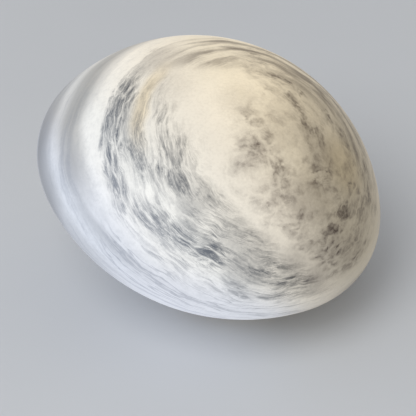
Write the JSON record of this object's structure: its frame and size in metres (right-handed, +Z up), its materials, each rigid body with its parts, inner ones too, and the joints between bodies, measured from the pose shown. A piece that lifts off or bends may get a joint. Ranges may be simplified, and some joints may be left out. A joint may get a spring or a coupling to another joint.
{
  "type": "table lamp",
  "caption": "Leaning oval alabaster table lamp: a hollow glowing stone shade that lifts off a low round base with a lampholder, bulb and push switch.",
  "frame": {"origin": "middle of the foot pad's underside, on the base's axis", "axes": "+Z up along the base's axis; the stone leans towards +X; the cord's inlet is at the back, towards +Y"},
  "size_m": [0.2896, 0.3, 0.2119],
  "materials": {
    "alabaster": "honed and polished",
    "satin_brass": "satin",
    "contact_brass": "stamped",
    "steel": "zinc plated",
    "cork": "pressed cork",
    "gasket_rubber": "matte silicone",
    "switch_plastic": "moulded",
    "button_metal": "polished",
    "porcelain": "glazed",
    "block_plastic": "moulded",
    "lamp_cap_metal": "nickel plated",
    "lamp_glass_black": "vitrified",
    "lamp_housing": "moulded",
    "lamp_globe": "opal diffuser",
    "circuit_board": "lacquered board",
    "light_board": "white lacquered board",
    "light_chips": "phosphor",
    "live_insulation": "brown insulation",
    "neutral_insulation": "blue insulation",
    "earth_insulation": "green and yellow insulation"
  },
  "bodies": {
    "base": {"base_pan": "satin_brass", "bottom_cover": "steel", "cover_screws": "steel", "foot_pad": "cork", "shade_gasket": "gasket_rubber", "cord_gland": "satin_brass", "gland_nut": "satin_brass", "switch_body": "switch_plastic", "switch_bezel": "satin_brass", "threaded_nipple": "satin_brass", "nipple_washer": "satin_brass", "nipple_nut_lower": "satin_brass", "nipple_nut_upper": "satin_brass", "lampholder_cap": "satin_brass", "lampholder_insert": "porcelain", "centre_contact": "contact_brass", "holder_screw_shell": "contact_brass", "lampholder_skirt": "satin_brass", "terminal_block": "block_plastic", "terminal_screws": "contact_brass", "block_screws": "steel", "earth_tag": "steel", "earth_screw": "steel", "feed_lead": "live_insulation", "live_lead": "live_insulation", "neutral_lead": "neutral_insulation", "earth_lead": "earth_insulation"},
    "shade": {"alabaster_shade": "alabaster", "shade_ring": "satin_brass"},
    "bulb": {"bulb_contact": "lamp_cap_metal", "bulb_insulator": "lamp_glass_black", "bulb_cap": "lamp_cap_metal", "bulb_driver_board": "circuit_board", "bulb_housing": "lamp_housing", "bulb_led_board": "light_board", "bulb_leds": "light_chips", "bulb_globe": "lamp_globe"},
    "button": {"switch_button": "button_metal"}
  },
  "joints": [
    {"name": "shade_lift", "type": "slide", "parent": "base", "child": "shade", "axis": [0, 0, 1], "range_m": [0, 0.16]},
    {"name": "bulb_lift", "type": "slide", "parent": "base", "child": "bulb", "axis": [0, 0, 1], "range_m": [0, 0.032]},
    {"name": "button_press", "type": "slide", "parent": "base", "child": "button", "axis": [-0.7071, -0.7071, 0], "range_m": [0, 0.0016], "stiffness_N_per_m": 600}
  ]
}
